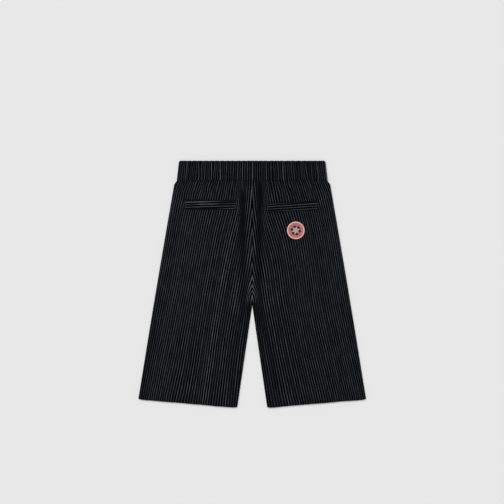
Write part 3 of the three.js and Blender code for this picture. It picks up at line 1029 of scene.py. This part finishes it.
BADGE = {"side": 1, "x": 109, "depth": 174}
BADGE_RADIUS = 22
BORDER_WIDTH = 3.2
BORDER_HEIGHT = 1.3
PATCH_HEIGHT = 0.9
PETALS = 6
PETAL = (1.0, 9.4, 5.6, 0.62)  # start and end from the centre, width and rise
LEAF = (1.5, 13.0, 9.0, 0.35)
PETAL_RIDGES = 15
PETAL_CLOTH = 0.2
FLOWER_TURN = 0.3
HEART_RADIUS = 1.9
SEEDS = 12
SEED_RING = 16.4
SEED_SIZE = (1.1, 0.7, 0.4)
PATCH_RINGS = 10
RIM_WRAPS = 132
RIM_SLANT = 1.3


def on_badge(across, up_page, height):
    """A point of the badge from its own centre, which keeps to the back's surface."""
    return on_back(BADGE["side"], BADGE["x"] + across, BADGE["depth"] - up_page, height)


def lay_on_badge(bm):
    for vert in bm.verts:
        vert.co = Vector(on_badge(*vert.co)) * MM


def thread_map(bm, heading):
    """A UV map whose x runs across the threads, one unit for each millimetre."""
    uv = bm.loops.layers.uv.new("threads")
    across = Vector((-math.sin(heading), math.cos(heading)))
    for face in bm.faces:
        for loop in face.loops:
            flat = loop.vert.co.xy
            loop[uv].uv = (flat.dot(across), flat.dot(across.orthogonal()))


def badge_patch(material):
    bm = bmesh.new()
    bmesh.ops.create_circle(bm, cap_ends=False, segments=96, radius=BADGE_RADIUS - BORDER_WIDTH / 2)
    edges = bm.edges[:]
    for i in range(PATCH_RINGS, 0, -1):
        ring = bmesh.ops.extrude_edge_only(bm, edges=edges)["geom"]
        verts = [part for part in ring if isinstance(part, bmesh.types.BMVert)]
        edges = [part for part in ring if isinstance(part, bmesh.types.BMEdge)]
        for vert in verts:
            vert.co.xy *= (i - 0.5) / (i + 0.5) if i > 1 else 0.4
    bmesh.ops.contextual_create(bm, geom=edges)
    for vert in bm.verts:
        vert.co.z = PATCH_HEIGHT
    bmesh.ops.recalc_face_normals(bm, faces=bm.faces[:])
    if bm.faces[0].normal.z < 0:
        bmesh.ops.reverse_faces(bm, faces=bm.faces[:])
    thread_map(bm, math.radians(35))
    lay_on_badge(bm)
    patch = finish_mesh("badge_patch", bm)
    dress(thicken(patch, PATCH_HEIGHT * 0.7), material, "badge_thread", "badge_ground")
    return patch


def badge_rim(material):
    """The overlocked rim: a ring whose thread wraps round it at a slant."""
    bm = bmesh.new()
    section = bmesh.ops.create_circle(bm, cap_ends=False, segments=12, radius=1)["verts"]
    middle = BADGE_RADIUS - BORDER_WIDTH / 2
    for vert in section:
        vert.co = Vector((middle + vert.co.x * BORDER_WIDTH / 2, 0, vert.co.y * BORDER_HEIGHT / 2))
    bmesh.ops.spin(
        bm, geom=bm.verts[:] + bm.edges[:], cent=(0, 0, 0), axis=(0, 0, 1), angle=math.tau,
        steps=RIM_WRAPS * 6, use_merge=True, use_duplicate=False,
    )
    for vert in bm.verts:
        bearing = math.atan2(vert.co.y, vert.co.x)
        outwards = Vector((math.cos(bearing), math.sin(bearing), 0))
        from_middle = vert.co.xy.length - middle
        slant = RIM_SLANT * from_middle / BORDER_WIDTH
        ridge = 0.5 + 0.5 * math.cos(RIM_WRAPS * bearing + slant * math.tau)
        swell = 0.84 + 0.16 * ridge + 0.05 * noise.noise(Vector((bearing * 20, from_middle, 0)))
        flat = outwards * (middle + from_middle * swell)
        vert.co = Vector((flat.x, flat.y, vert.co.z * swell + BORDER_HEIGHT / 2 + 0.1))
    lay_on_badge(bm)
    bmesh.ops.recalc_face_normals(bm, faces=bm.faces[:])
    return dress(finish_mesh("badge_rim", bm), material, "badge_border_thread", "badge_border")


def add_petal(bm, uv, bearing, start, end, width, rise):
    """A satin-stitched petal: a low pad, pointed at its root, with threads across it."""
    lengthwise, crosswise = 30, 10
    made = bmesh.ops.create_grid(bm, x_segments=lengthwise, y_segments=crosswise, size=1)["verts"]
    for vert in made:
        along, across = (vert.co.x + 1) / 2, vert.co.y
        half = width / 2 * math.sin(math.pi * clamp(along, 0.02, 0.985) ** 1.25) ** 0.7
        ridge = 0.06 * math.cos(along * math.tau * PETAL_RIDGES)
        pad = math.sqrt(max(0.0, 1 - across ** 2)) * (rise + ridge)
        run = mix(start, end, along)
        flat = Vector((run, across * half)) @ Matrix.Rotation(-bearing, 2)
        ends = math.sin(math.pi * clamp(along, 0.04, 0.96)) ** 0.5
        vert.co = Vector((flat.x, flat.y, PATCH_HEIGHT + pad * ends))
        for loop in vert.link_loops:
            loop[uv].uv = (run, across * half)


def badge_flower(petal_thread, leaf_thread, heart_thread):
    leaves, petals, heart = bmesh.new(), bmesh.new(), bmesh.new()
    leaf_uv = leaves.loops.layers.uv.new("threads")
    petal_uv = petals.loops.layers.uv.new("threads")
    for i in range(PETALS):
        bearing = math.tau * i / PETALS + FLOWER_TURN
        add_petal(leaves, leaf_uv, bearing + math.pi / PETALS, *LEAF)
        add_petal(petals, petal_uv, bearing, *PETAL)
    bmesh.ops.create_icosphere(heart, subdivisions=3, radius=HEART_RADIUS)
    for vert in heart.verts:
        vert.co.z = vert.co.z * 0.35 + PATCH_HEIGHT + 0.5
    for i in range(SEEDS):
        bearing = math.tau * (i + 0.5) / SEEDS + FLOWER_TURN
        across, up_page = SEED_RING * math.cos(bearing), SEED_RING * math.sin(bearing)
        place = Matrix.Translation((across, up_page, PATCH_HEIGHT))
        seed = place @ Matrix.Rotation(bearing, 4, "Z") @ Matrix.Diagonal((*SEED_SIZE, 1))
        bmesh.ops.create_uvsphere(heart, u_segments=12, v_segments=6, radius=1, matrix=seed)
    for name, bm, material in (("leaves", leaves, leaf_thread), ("petals", petals, petal_thread)):
        lay_on_badge(bm)
        bmesh.ops.recalc_face_normals(bm, faces=bm.faces[:])
        if sum(face.normal.z for face in bm.faces) < 0:
            bmesh.ops.reverse_faces(bm, faces=bm.faces[:])
        dress(thicken(finish_mesh(f"badge_{name}", bm), PETAL_CLOTH), material, "badge_thread")
    lay_on_badge(heart)
    dress(finish_mesh("badge_seeds", heart), heart_thread, "badge_thread")


def make_badge():
    patch = badge_patch(thread("coral_thread", (0.52, 0.165, 0.175), threads=2.0))
    badge_rim(thread("peach_thread", (0.78, 0.47, 0.40)))
    badge_flower(
        thread("pale_thread", (0.58, 0.50, 0.48), threads=2.2),
        thread("burgundy_thread", (0.034, 0.0045, 0.008), threads=2.2),
        thread("rose_thread", (0.74, 0.36, 0.30)),
    )


# Table, light and camera, in metres

VIEW_WIDTH = 1.26  # width of the table that the picture shows, at the table
CAMERA_HEIGHT = 3.0
CAMERA_X = -0.0004
CAMERA_Y = 0.0806
SENSOR = 36.0  # width of the camera's film, in millimetres
TABLE_COLOUR = (0.8, 0.8, 0.8, 1)
TABLE_HALF_SIZE = 20
TABLE_DROP = 0.0001  # below the shorts
ROOM_LIGHT = 0.3
WINDOW_LIGHT = 2.55
WINDOW_SPREAD = 50  # degrees of the sky that the window's light comes from
WINDOW_HEADING = (0.42, -0.62, -1.35)


def make_table():
    bm = bmesh.new()
    below = Matrix.Translation((0, 0, -TABLE_DROP))
    bmesh.ops.create_grid(bm, x_segments=1, y_segments=1, size=TABLE_HALF_SIZE, matrix=below)
    table = finish_mesh("table", bm)
    shader = Shader("pale_table", roughness=0.9, specular=0.0)
    shader.put(TABLE_COLOUR, shader.surface.inputs["Base Color"])
    table.data.materials.append(shader.material)


def make_light():
    world = bpy.data.worlds.new("soft_room")
    world.use_nodes = True
    background = world.node_tree.nodes["Background"]
    background.inputs["Color"].default_value = (1, 1, 1, 1)
    background.inputs["Strength"].default_value = ROOM_LIGHT
    bpy.context.scene.world = world
    lamp = bpy.data.lights.new("window", "SUN")
    lamp.energy = WINDOW_LIGHT
    lamp.angle = math.radians(WINDOW_SPREAD)
    sun = bpy.data.objects.new("window", lamp)
    sun.rotation_euler = Vector(WINDOW_HEADING).to_track_quat("-Z", "Y").to_euler()
    bpy.context.scene.collection.objects.link(sun)


def make_camera():
    camera = bpy.data.cameras.new("camera")
    camera.sensor_width = SENSOR
    camera.lens = SENSOR * CAMERA_HEIGHT / VIEW_WIDTH
    eye = bpy.data.objects.new("camera", camera)
    eye.location = (CAMERA_X, CAMERA_Y, CAMERA_HEIGHT)
    bpy.context.scene.collection.objects.link(eye)
    bpy.context.scene.camera = eye


make_camera()
make_light()
make_table()
bpy.context.scene.view_settings.view_transform = "Standard"

pinstripe = pinstriped_cloth("pinstriped_cloth")
make_legs(pinstripe)
make_waistband(pinstripe)
for pocket_label, pocket_place in POCKETS.items():
    for is_upper in (True, False):
        make_jet(pinstripe, pocket_label, pocket_place, is_upper)
make_sewing(thread("dark_thread", (0.006, 0.0065, 0.009)))
make_badge()
